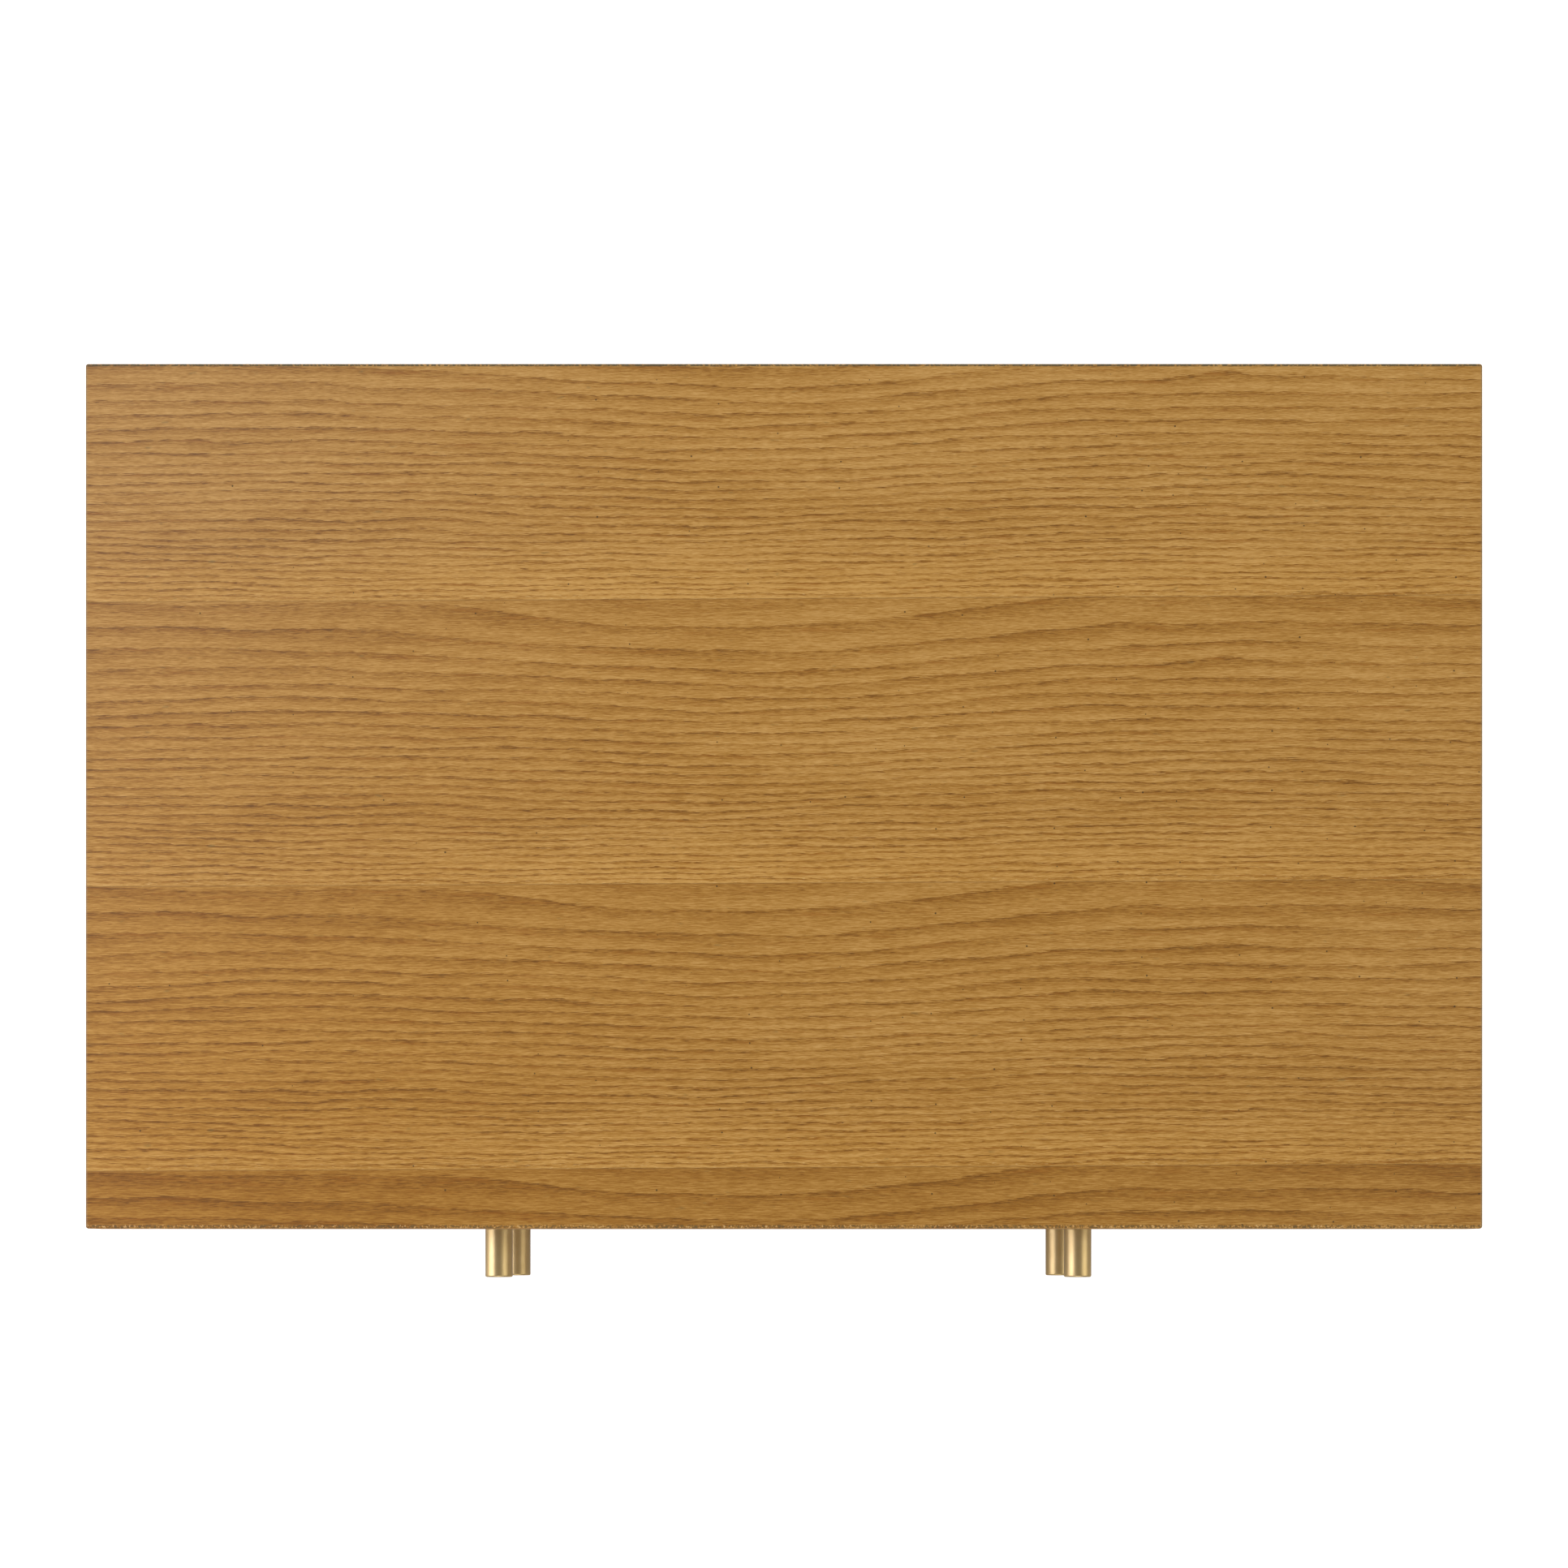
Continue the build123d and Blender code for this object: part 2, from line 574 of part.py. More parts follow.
def knob_screw(x, z):
    """A pan-head machine screw, sunk into the inner face of the tray."""
    head = rod(KNOB_SCREW_HEAD_RADIUS, (x, TRAY_INNER_Y - COUNTERBORE, z), (0, 1, 0), KNOB_SCREW_HEAD)
    head = fillet(head.edges().filter_by(GeomType.CIRCLE).sort_by(Axis.Y)[-1], KNOB_TIP_ROUND)
    slot = KNOB_SCREW_HEAD_RADIUS * RECESS_WIDTH
    recess_y = (TRAY_INNER_Y - COUNTERBORE + KNOB_SCREW_HEAD / 2, TRAY_INNER_Y)
    reach = KNOB_SCREW_HEAD_RADIUS / 2
    head -= block((x - reach, x + reach), recess_y, (z - slot / 2, z + slot / 2))
    head -= block((x - slot / 2, x + slot / 2), recess_y, (z - reach, z + reach))
    return head + knob_screw_shank(x, z, 0)


def knob_screw_bores(row):
    bores = []
    radius = KNOB_SCREW_HEAD_RADIUS + COUNTERBORE_PLAY
    for x, z in knob_places(row).values():
        bores.append(knob_screw_shank(x, z, BORE_PLAY))
        bores.append(rod(radius, (x, TRAY_INNER_Y, z), (0, -1, 0), COUNTERBORE))
    return bores


# ---- partitions ----
def section_left(number):
    return -TRAY_INNER_X + number * (SECTION_WIDTH + SECTION_BAR)


def partition_base(row):
    return tray_z(row)[0] + BOTTOM_RISE + TRAY_BOTTOM


def section_bars(row):
    z = partition_base(row)
    y = (TRAY_INNER_Y, TRAY_INNER_BACK_Y)
    starts = [section_left(number) - SECTION_BAR for number in (1, 2)]
    bars = [block((x, x + SECTION_BAR), y, (z, z + BAR_HEIGHT)) for x in starts]
    return group(round_top(bar, Axis.Y, BAR_ROUND) for bar in bars)


def strip_ends(first, last, whole, origin, pitch):
    """A strip's (low, high) ends: flush with the section's edge, or against the strip it meets."""
    trim = PARTITION / 2 if pitch > 0 else -PARTITION / 2
    near = origin + pitch * first + (0 if first == 0 else trim)
    far = origin + pitch * last - (0 if last == whole else trim)
    return min(near, far), max(near, far)


def section_strips(number):
    """(x, y ends) of a section's lengthwise strips and (y, x ends) of its crosswise ones."""
    section = SECTIONS[number]
    left, back = section_left(number), TRAY_INNER_BACK_Y
    unit = SECTION_WIDTH / section.units
    row_pitch = -(TRAY_INNER_BACK_Y - TRAY_INNER_Y) / section.rows
    lengthwise = [
        (left + unit * at, strip_ends(first, last, section.rows, back, row_pitch))
        for at, first, last in section.lengthwise
    ]
    crosswise = [
        (back + row_pitch * at, strip_ends(first, last, section.units, left, unit))
        for at, first, last in section.crosswise
    ]
    return lengthwise, crosswise


def around(middle, half):
    return middle - half, middle + half


def partitions(row):
    """Lengthwise strips are slotted from above and crosswise ones from below, so that they halve together."""
    low = partition_base(row)
    half_way, high = low + PARTITION_HEIGHT / 2, low + PARTITION_HEIGHT
    upper_half = (half_way - SLOT_PLAY, high + OVERCUT)
    lower_half = (low - OVERCUT, half_way + SLOT_PLAY)
    thin, slot = PARTITION / 2, PARTITION / 2 + SLOT_PLAY
    made = {"lengthwise": [], "crosswise": []}
    for number in range(len(SECTIONS)):
        lengthwise, crosswise = section_strips(number)
        for x, y_ends in lengthwise:
            strip = round_top(block(around(x, thin), y_ends, (low, high)), Axis.Y, PARTITION_ROUND)
            for y, x_ends in crosswise:
                if x_ends[0] < x < x_ends[1] and y_ends[0] < y < y_ends[1]:
                    strip -= block(around(x, PARTITION), around(y, slot), upper_half)
            made["lengthwise"].append(strip)
        for y, x_ends in crosswise:
            strip = round_top(block(x_ends, around(y, thin), (low, high)), Axis.X, PARTITION_ROUND)
            for x, y_ends in lengthwise:
                if x_ends[0] < x < x_ends[1] and y_ends[0] < y < y_ends[1]:
                    strip -= block(around(x, slot), around(y, PARTITION), lower_half)
            made["crosswise"].append(strip)
    return made


# ---- the whole assembly ----
def save_cabinet():
    save(top_core(), "top_core_board")
    save(top_backing_veneer(), "top_backing_veneer")
    save(top_face_veneer(), "top_face_veneer")
    save(top_edge_lippings(), "top_edge_lippings")
    left = left_side_board()
    save(left, "left_side_board")
    save(mirrored(left), "right_side_board")
    save(bottom_board(), "bottom_board")
    save(case_front_lippings(), "case_front_lippings")
    save(back_board(), "back_board")
    save(group(flat_screw(BACK_SCREW, *place) for place in back_screw_places()), "back_board_screws")
    save(group(dowel(*place) for place in bottom_dowel_places() + top_dowel_places()), "case_dowels")
    save(feet(), "feet")
    save(foot_pads(), "foot_pads")
    save(group(flat_screw(FOOT_SCREW, *place) for place in foot_screw_places()), "foot_screws")
    screws = [flat_screw(SLIDE_SCREW, *place) for row in FRONT_ZS for place in outer_slide_screw_places(row)]
    save(both_sides(screws), "slide_screws_in_case")


def save_slides(row):
    save(both_sides([slide_channel("outer", row)]), row + "_slide_outer_channels")
    save(both_sides([slide_channel("middle", row)]), row + "_slide_middle_channels")
    save(both_sides([slide_channel("inner", row)]), row + "_slide_inner_channels")
    cages = {
        "outer": ((OUTER_CAGE_START, OUTER_CAGE_END), (OUTER_RACE, OUTER_BALL_W)),
        "inner": ((INNER_CAGE_START, INNER_CAGE_END), (INNER_RACE, INNER_BALL_W)),
    }
    for kind, (widths, race) in cages.items():
        save(both_sides([ball_cage(*widths, *race, row)]), row + "_slide_" + kind + "_ball_cages")
        save(both_sides(balls(*race, row)), row + "_slide_" + kind + "_balls")


def save_drawer(row):
    save(drawer_front(row), row + "_drawer_front")
    left = tray_left_wall(row)
    save(left, row + "_tray_left_wall")
    save(mirrored(left), row + "_tray_right_wall")
    save(tray_front_wall(row), row + "_tray_front_wall")
    save(tray_back_wall(row), row + "_tray_back_wall")
    save(tray_bottom_space(row, 0), row + "_tray_bottom")
    save(section_bars(row), row + "_section_bars")
    for kind, strips in partitions(row).items():
        save(group(strips), row + "_" + kind + "_partitions")
    for side, place in knob_places(row).items():
        save(knob(*place), row + "_knob_" + side)
    save(group(knob_screw(*place) for place in knob_places(row).values()), row + "_knob_screws")
    save(group(flat_screw(FRONT_SCREW, *place) for place in front_screw_places(row)), row + "_front_screws")
    screws = [flat_screw(SLIDE_SCREW, *place) for place in inner_slide_screw_places(row)]
    save(both_sides(screws), row + "_slide_screws_in_tray")


os.makedirs("parts", exist_ok=True)
save_cabinet()
for drawer in FRONT_ZS:
    save_slides(drawer)
    save_drawer(drawer)
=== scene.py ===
import bpy
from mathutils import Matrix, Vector


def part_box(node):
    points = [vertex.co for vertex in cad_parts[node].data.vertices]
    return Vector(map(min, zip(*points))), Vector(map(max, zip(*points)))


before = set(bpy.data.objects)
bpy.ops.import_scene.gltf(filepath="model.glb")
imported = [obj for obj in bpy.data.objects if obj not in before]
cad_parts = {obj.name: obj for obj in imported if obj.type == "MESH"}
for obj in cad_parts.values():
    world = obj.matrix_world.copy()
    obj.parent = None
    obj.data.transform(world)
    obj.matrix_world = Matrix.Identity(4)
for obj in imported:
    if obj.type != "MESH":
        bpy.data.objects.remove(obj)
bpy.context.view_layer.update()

# Looks for the type case. Metres and the CAD frame throughout: +Z up, the drawers open towards -Y.
# Every piece keeps its CAD shape. This script gives each a material, and sets the floor, lamps and camera.

MM = 0.001
ROWS = ("lower", "upper")
WHITE = (255, 255, 255)

# ---- the top's veneer, as the CAD cuts it ----
LEAF_WIDTH = 148.6 * MM
BACK_LEAF_WIDTH = 122.8 * MM
LEAF_SLANT = 4.0 * MM  # over the whole width
LIPPING = 2.0 * MM
FRONT_LEAF = 2  # leaves are numbered from the back, where the cut-down one is -1

# ---- its figure, the same in every leaf ----
RINGS_AT_BACK_JOINT = 66.0  # per metre
RINGS_GAINED = 1440.0  # per metre, for each metre from the back joint
DIP_PLACE = -45.0 * MM  # the rings sag here, left of the middle
DIP_REACH = 150.0 * MM
DIP_DEPTH = 15.0 * MM
LEAF_CHANGE = 0.12  # how far the noise moves on from leaf to leaf

# ---- growth rings everywhere ----
RING_FRAY = 0.85 * MM  # how far a ring's edge strays
RING_LINE = 1.2 * MM  # the dark line that a ring starts with
EDGE_RINGS = 310.0  # per metre, in the narrow edge strips

# ---- the reference view: straight down from just in front of the top's front edge ----
SENSOR = 36.0
CAMERA_ABOVE_TOP = 0.9815
CAMERA_AHEAD_OF_TOP = 0.0119
SHOT_WIDTH = 0.819  # what the picture spans at the height of the top
SHOT_MIDDLE_FROM_FRONT = 0.2323


# ---- node trees written as arithmetic ----
class Value:
    """A number in a material's node tree."""

    def __init__(self, graph, socket):
        self.graph = graph
        self.socket = socket

    def __add__(self, other):
        return self.graph.math("ADD", self, other)

    __radd__ = __add__

    def __sub__(self, other):
        return self.graph.math("SUBTRACT", self, other)

    def __rsub__(self, other):
        return self.graph.math("SUBTRACT", other, self)

    def __mul__(self, other):
        return self.graph.math("MULTIPLY", self, other)

    __rmul__ = __mul__

    def __truediv__(self, other):
        return self.graph.math("DIVIDE", self, other)


class Graph:
    """A material and its node tree. x, y and z are a point's place in the CAD frame at rest."""

    def __init__(self, name):
        self.material = bpy.data.materials.new(name)
        self.material.use_nodes = True
        self.tree = self.material.node_tree
        self.shader = self.tree.nodes["Principled BSDF"]
        place = self.node("ShaderNodeTexCoord").outputs["Object"]
        parts = self.node("ShaderNodeSeparateXYZ", {"Vector": place}).outputs
        self.x, self.y, self.z = (Value(self, part) for part in parts)

    def node(self, kind, inputs=None, **settings):
        made = self.tree.nodes.new(kind)
        for key, setting in settings.items():
            setattr(made, key, setting)
        for key, value in (inputs or {}).items():
            self.feed(made.inputs[key], value)
        return made

    def feed(self, socket, value):
        """Links a Value or a socket, or sets a number or an sRGB colour."""
        if isinstance(value, Value):
            value = value.socket
        if isinstance(value, bpy.types.NodeSocket):
            self.tree.links.new(value, socket)
        else:
            socket.default_value = paint(value) if isinstance(value, tuple) else value

    def math(self, operation, *values):
        made = self.node("ShaderNodeMath", operation=operation)
        for socket, value in zip(made.inputs, values):
            self.feed(socket, value)
        return Value(self, made.outputs[0])

    def vector(self, *values):
        return self.node("ShaderNodeCombineXYZ", dict(enumerate(values))).outputs[0]

    def noise(self, a, b, c=0.0, detail=2.0, roughness=0.5):
        """Smooth noise from 0 to 1, about one swing per unit of a, b and c."""
        inputs = {"Vector": self.vector(a, b, c), "Scale": 1.0, "Detail": detail, "Roughness": roughness}
        return Value(self, self.node("ShaderNodeTexNoise", inputs).outputs[0])

    def grit(self, x_size, y_size, z_size, **more):
        """Noise through the whole frame, whose swings are that long along x, y and z."""
        return self.noise(self.x / x_size, self.y / y_size, self.z / z_size, **more)

    def wobble(self, a, b, c):
        """Noise from about -1 to 1."""
        return (self.noise(a, b, c, detail=1.0) - 0.5) * 2.5

    def spread(self, noise, half=0.22):
        """Noise stretched to fill -1 to 1; the smaller half is, the crisper its edges."""
        return self.step(noise, 0.5 - half, 0.5 + half) * 2.0 - 1.0

    def step(self, value, low, high):
        """0 at low, 1 at high and smooth in between; low may be the larger."""
        inputs = {"Value": value, "From Min": low, "From Max": high}
        made = self.node("ShaderNodeMapRange", inputs, interpolation_type="SMOOTHSTEP")
        return Value(self, made.outputs[0])

    def ramp(self, value, *stops):
        """A colour from (place, sRGB colour) stops."""
        made = self.node("ShaderNodeValToRGB", {"Fac": value})
        elements = made.color_ramp.elements
        while len(elements) < len(stops):
            elements.new(1.0)
        for element, (place, colour) in zip(elements, stops):
            element.position = place
            element.color = paint(colour)
        return made.outputs[0]

    def mix(self, share, first, second, how="MIX"):
        """Two colours mixed; each is a socket or an sRGB colour."""
        made = self.node("ShaderNodeMix", data_type="RGBA", blend_type=how)
        for socket, value in zip((made.inputs[0], made.inputs[6], made.inputs[7]), (share, first, second)):
            self.feed(socket, value)
        return made.outputs[2]

    def facing_up(self):
        """1 on level faces and 0 on upright ones."""
        normal = self.node("ShaderNodeNewGeometry").outputs["True Normal"]
        rise = self.node("ShaderNodeSeparateXYZ", {"Vector": normal}).outputs[2]
        return self.step(self.math("ABSOLUTE", Value(self, rise)), 0.7, 0.8)

    def near_edges(self, box, width):
        """1 on the edges of an upright box, fading to 0 that far from them."""
        near = []
        for value, low, high in zip((self.x, self.y, self.z), *box):
            inside = (high - low) / 2 - self.math("ABSOLUTE", value - (low + high) / 2)
            near.append(self.step(inside, width, 0.0))
        pairs = [self.math("MINIMUM", near[i], near[j]) for i, j in ((0, 1), (1, 2), (0, 2))]
        return self.math("MAXIMUM", self.math("MAXIMUM", pairs[0], pairs[1]), pairs[2])

    def finish(self, colour, roughness, relief, depth, **more):
        """Feeds the shader; relief runs from 0 to 1 and is that deep."""
        bump = self.node("ShaderNodeBump", {"Height": relief, "Distance": depth, "Strength": 1.0})
        more.update(Base_Color=colour, Roughness=roughness, Normal=bump.outputs[0])
        for key, value in more.items():
            self.feed(self.shader.inputs[key.replace("_", " ")], value)
        return self.material


def paint(colour):
    """An sRGB colour, 0 to 255, as linear RGBA."""
    shares = [part / 255 for part in colour]
    return [s / 12.92 if s <= 0.04045 else ((s + 0.055) / 1.055) ** 2.4 for s in shares] + [1.0]


# ---- oak ----
OAK = (
    (0.00, (200, 155, 88)),
    (0.25, (183, 136, 66)),
    (0.50, (163, 115, 45)),
    (0.75, (142, 93, 27)),
    (1.00, (116, 74, 18)),
)
OAK_RUST = (150, 90, 20)
OAK_STAIN = (112, 98, 54)
OAK_SPECK = (52, 40, 20)
# A painted sheen: a bluish grey added to the top's back left in place of a reflection of the left lamp.
OAK_PAINTED_SHEEN = (0, 30, 42)  # added to the colour
# Multiplied in as the oak's own amber on each leaf's golden band, and as painted shade at the top's front
# left.
OAK_AMBER_AND_PAINTED_SHADE = (255, 250, 228)  # multiplied with it
OAK_WORN = (205, 165, 105)
JOINT_LINE = (120, 86, 40)
JOINT_FLECK = (222, 190, 128)
OPEN_PORE = (92, 76, 44)
OPEN_FIBRE = (220, 186, 128)
BACK_ARRIS = (78, 72, 48)
END_ARRIS = (150, 134, 104)


def oak_surface(graph, along, across, ring, rate, seed, tone=0.0):
    """Lacquered oak from a place along and across the grain, the growth ring there and the rings per metre.

    A ring starts with a dark line and a band of open pores, and ends pale. Tone darkens the whole. Returns
    colour and relief.
    """

    def grain(length, width, offset, **more):
        """Noise that long along the grain and that wide across it."""
        return graph.noise(along / length, across / width, seed + offset, **more)

    fray = graph.spread(grain(10 * MM, 0.4 * MM, 0.0, roughness=0.6))
    share = graph.math("FRACT", ring + fray * rate * RING_FRAY)
    strength = graph.step(grain(110 * MM, 8 * MM, 3.1), 0.34, 0.60)
    band = graph.step(share, 0.0, 0.05) * graph.step(share, 0.80, 0.05)
    line_end = rate * RING_LINE
    line = graph.step(share, 0.0, line_end * 0.2) * graph.step(share, line_end, line_end * 0.4)
    rings = (band * 0.26 + line * 0.36) * (0.45 + 0.55 * strength)

    streaks = graph.spread(grain(16 * MM, 0.7 * MM, 7.7, detail=1.0), half=0.11)
    hairs = graph.spread(grain(4 * MM, 0.3 * MM, 9.2))
    drift = graph.spread(grain(200 * MM, 28 * MM, 11.3))
    pores = graph.step(grain(6 * MM, 0.36 * MM, 17.9, detail=1.0), 0.59, 0.64) * (0.20 + 0.80 * band)
    amount = 0.24 + tone + rings + streaks * 0.08 + hairs * 0.18 + drift * 0.05 + pores * 0.29

    rust = graph.step(grain(30 * MM, 2.2 * MM, 23.0), 0.54, 0.72) * band
    stain = graph.step(grain(8 * MM, 2.8 * MM, 29.0), 0.68, 0.80)
    colour = graph.ramp(amount, *OAK)
    colour = graph.mix(rust * 0.40, colour, OAK_RUST)
    colour = graph.mix(stain * 0.35, colour, OAK_STAIN)
    relief = 0.9 - pores * 0.6 - rings * 0.5 - hairs * 0.1
    return colour, relief


def top_specks(graph, colour, density):
    """Tiny dark mineral specks, one at most in each cell of the top."""
    cell = 16 * MM
    inputs = {"Vector": graph.vector(graph.x / cell, graph.y / cell, 0.0), "Scale": 1.0}
    cells = graph.node("ShaderNodeTexVoronoi", inputs, voronoi_dimensions="2D")
    chance = graph.node("ShaderNodeSeparateColor", {"Color": cells.outputs["Color"]}).outputs
    size = 0.014 + Value(graph, chance[1]) * 0.030
    speck = graph.step(Value(graph, cells.outputs["Distance"]), size, size * 0.4)
    shown = graph.step(Value(graph, chance[0]), 1.0 - density, 1.0 - density + 0.02)
    return graph.mix(speck * shown * 0.85, colour, OAK_SPECK)


def top_figure(graph):
    """Slip-matched leaves: each repeats the figure of the one before, with slow changes. Painted shade
    darkens the front and the left, and a painted sheen greys the back left.
    """
    low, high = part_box("top_edge_lippings")
    slanted = graph.y - graph.x * (LEAF_SLANT / (high.x - low.x))
    from_joint = (high.y - BACK_LEAF_WIDTH - slanted) / LEAF_WIDTH
    leaf = graph.math("FLOOR", from_joint)
    share = from_joint - leaf  # 0 at the leaf's back joint, 1 at its front joint
    calm = 1.0 - share
    along = graph.x
    across = share * LEAF_WIDTH
    seed = leaf * LEAF_CHANGE

    offset = (along - DIP_PLACE) / DIP_REACH
    dip = graph.math("EXPONENT", offset * offset * -1.0)
    warp = dip * -DIP_DEPTH * calm
    warp += graph.wobble(along / (260 * MM), across / (70 * MM), seed + 2.0) * (2 * MM + 8 * MM * calm)
    warp += graph.wobble(along / (55 * MM), across / (12 * MM), seed + 5.0) * (2.4 * MM)
    depth = across + warp
    ring = depth * RINGS_AT_BACK_JOINT + depth * depth * (RINGS_GAINED / 2)
    rate = RINGS_AT_BACK_JOINT + depth * RINGS_GAINED

    forwards = graph.step(graph.y, high.y, low.y)
    rightwards = graph.step(graph.x, low.x, high.x)
    leftmost = graph.step(graph.x, 0.0, low.x)
    front_leaf = graph.step(leaf, FRONT_LEAF - 0.6, FRONT_LEAF - 0.4)
    golden = graph.step(share, 0.74, 0.99)
    tone = 0.06 * graph.step(share, 0.25, 0.0) - 0.15 * golden
    # The forwards and leftmost shares are painted shade: they darken the top towards the front and towards
    # the left end.
    tone += 0.09 * forwards + 0.08 * leftmost + 0.09 * front_leaf - 0.03
    colour, relief = oak_surface(graph, along, across, ring, rate, seed, tone)
    # Painted sheen: a bluish grey added over the back left of the top.
    colour = graph.mix(leftmost * (1.0 - forwards), colour, OAK_PAINTED_SHEEN, "ADD")
    # At the front left this is painted shade, a warm darkening in place of less bluish lamp light; on each
    # leaf's golden band it is the oak's own amber.
    amber_and_painted_shade = graph.math("MAXIMUM", leftmost * forwards, golden * 0.6)
    colour = graph.mix(amber_and_painted_shade, colour, OAK_AMBER_AND_PAINTED_SHADE, "MULTIPLY")
    colour = top_specks(graph, colour, 0.08 + 0.32 * rightwards)

    to_joint = graph.math("MINIMUM", share, calm) * LEAF_WIDTH
    seam = graph.step(to_joint, 0.45 * MM, 0.1 * MM)
    colour = graph.mix(seam * 0.4, colour, JOINT_LINE)
    flecks = graph.step(graph.noise(along / (3 * MM), across / (0.5 * MM), 3.3, detail=1.0), 0.66, 0.71)
    flecks *= graph.step(calm * LEAF_WIDTH, 6.0 * MM, 0.5 * MM)
    colour = graph.mix(flecks * 0.35, colour, JOINT_FLECK)
    return colour, relief - seam * 0.5


def top_veneer():
    graph = Graph("top_veneer")
    colour, relief = top_figure(graph)
    return graph.finish(colour, 0.52 - 0.08 * relief, relief, 0.04 * MM, Specular_IOR_Level=0.28)


def top_lipping():
    """The leaves run over the strips up to their arrises; the front strip is left open-grained."""
    graph = Graph("top_lipping")
    low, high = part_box("top_edge_lippings")
    from_middle = graph.math("ABSOLUTE", graph.x)
    at_end = graph.step(from_middle, high.x - LIPPING - 0.1 * MM, high.x - LIPPING)
    along = graph.x + (graph.y - graph.x) * at_end
    ring = graph.z * EDGE_RINGS
    edge_colour, edge_relief = oak_surface(graph, along, graph.z, ring, EDGE_RINGS, 41.0, tone=0.10)
    colour, relief = top_figure(graph)
    facing_up = graph.facing_up()
    colour = graph.mix(facing_up, edge_colour, colour)
    relief = relief * facing_up + edge_relief * (1.0 - facing_up)

    grit = graph.grit(1.1 * MM, 1.1 * MM, 1.1 * MM)
    open_grain = facing_up * graph.step(graph.y, low.y + 2.5 * MM, low.y + 1.9 * MM)
    colour = graph.mix(graph.step(grit, 0.46, 0.60) * open_grain * 0.75, colour, OPEN_PORE)
    colour = graph.mix(graph.step(grit, 0.42, 0.34) * open_grain * 0.60, colour, OPEN_FIBRE)
    back_arris = facing_up * graph.step(graph.y, high.y - 1.9 * MM, high.y - 1.1 * MM)
    colour = graph.mix(back_arris * graph.step(grit, 0.30, 0.55) * 0.9, colour, BACK_ARRIS)
    end_arris = facing_up * graph.step(from_middle, high.x - 1.3 * MM, high.x - 0.7 * MM)
    colour = graph.mix(end_arris * 0.6, colour, END_ARRIS)
    return graph.finish(colour, 0.52, relief, 0.05 * MM, Specular_IOR_Level=0.3)


def oak_board(name, grain, face, seed, node, pitch=6.5 * MM):
    """An oak-faced board: grain and face are the axes along the grain and across it on the broad face."""
    graph = Graph(name)
    axes = {"x": graph.x, "y": graph.y, "z": graph.z}
    thickness = next(axis for axis in "xyz" if axis not in (grain, face))
    along = axes[grain]
    across = axes[face] + axes[thickness] * 0.8
    bend = graph.wobble(along / (300 * MM), across / (90 * MM), seed) * (12 * MM)
    bend += graph.wobble(along / (900 * MM), across / (35 * MM), seed + 2.0) * (7 * MM)
    bend += graph.wobble(along / (70 * MM), across / (20 * MM), seed + 1.0) * (2 * MM)
    rate = 1.0 / pitch
    colour, relief = oak_surface(graph, along, across, (across + bend) * rate, rate, seed)
    worn = graph.step(graph.noise(graph.x / (30 * MM), graph.z / (30 * MM), seed), 0.35, 0.6)
    worn *= graph.near_edges(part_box(node), 1.4 * MM)
    colour = graph.mix(worn * 0.35, colour, OAK_WORN)
    return graph.finish(colour, 0.44 - 0.08 * relief, relief, 0.06 * MM)


def case_lipping():
    """The strips on the fronts of the sides and the bottom: upright at the ends, lengthwise between."""
    graph = Graph("case_lipping")
    inner_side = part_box("right_side_board")[0].x
    at_end = graph.step(graph.math("ABSOLUTE", graph.x), inner_side - 0.1 * MM, inner_side)
    along = graph.x + (graph.z - graph.x) * at_end
    across = graph.z + (graph.x - graph.z) * at_end + graph.y
    colour, relief = oak_surface(graph, along, across, across * EDGE_RINGS, EDGE_RINGS, 47.0, tone=0.06)
    return graph.finish(colour, 0.5, relief, 0.06 * MM, Specular_IOR_Level=0.3)


# ---- other woods: the light, the dark and the flecks' colour of each ----
BEECH = ((214, 172, 128), (176, 128, 86), (134, 84, 52))
MAPLE = ((226, 196, 152), (190, 154, 108), (150, 110, 70))
BIRCH = ((218, 184, 138), (180, 140, 96), (140, 98, 62))
TURNED_OAK = ((186, 140, 80), (146, 100, 48), (104, 68, 32))
FIBREBOARD = ((178, 148, 112), (150, 120, 86), (110, 84, 58))


def plain_wood(name, axis, colours, seed=0.0, pitch=3.0 * MM, flecks=0.0):
    """A close-grained wood along an axis, with faint rings and short ray flecks of that strength."""
    graph = Graph(name)
    axes = {"x": graph.x, "y": graph.y, "z": graph.z}
    along = axes.pop(axis)
    first, second = axes.values()

    def grain(length, width, offset=0.0, **more):
        """Noise that long along the grain and that wide across it."""
        return graph.noise(along / length, first / width, second / width + offset, **more)

    across = first + second * 0.9
    bend = graph.wobble(along / (200 * MM), across / (50 * MM), seed) * (4 * MM)
    ring = graph.math("FRACT", (across + bend) / pitch)
    early = graph.step(ring, 0.0, 0.25) * graph.step(ring, 1.0, 0.3)
    fibres = grain(20 * MM, 0.6 * MM, detail=3.0, roughness=0.6)
    drift = grain(150 * MM, 20 * MM, seed)
    rays = graph.step(grain(1.6 * MM, 0.35 * MM, seed, detail=0.0), 0.70, 0.76) * flecks
    amount = 0.15 + early * 0.22 + (fibres - 0.5) * 0.5 + (drift - 0.5) * 0.8
    light, dark, fleck = colours
    colour = graph.mix(rays, graph.ramp(amount, (0.0, light), (1.0, dark)), fleck)
    return graph.finish(colour, 0.55 + 0.08 * (fibres - 0.5), 1.0 - rays + fibres * 0.3, 0.05 * MM)


# ---- felt ----
FELT_SHADE = (52, 46, 40)
FELT_FUZZ = (104, 94, 82)


def felt():
    graph = Graph("felt")
    fuzz = graph.grit(0.5 * MM, 0.5 * MM, 0.5 * MM, detail=4.0, roughness=0.7)
    colour = graph.ramp(fuzz, (0.3, FELT_SHADE), (0.7, FELT_FUZZ))
    return graph.finish(colour, 0.95, fuzz, 0.4 * MM, Sheen_Weight=0.4)


# ---- metals ----
BRASS = (214, 189, 138)
BRASS_CLOUD = (196, 168, 114)


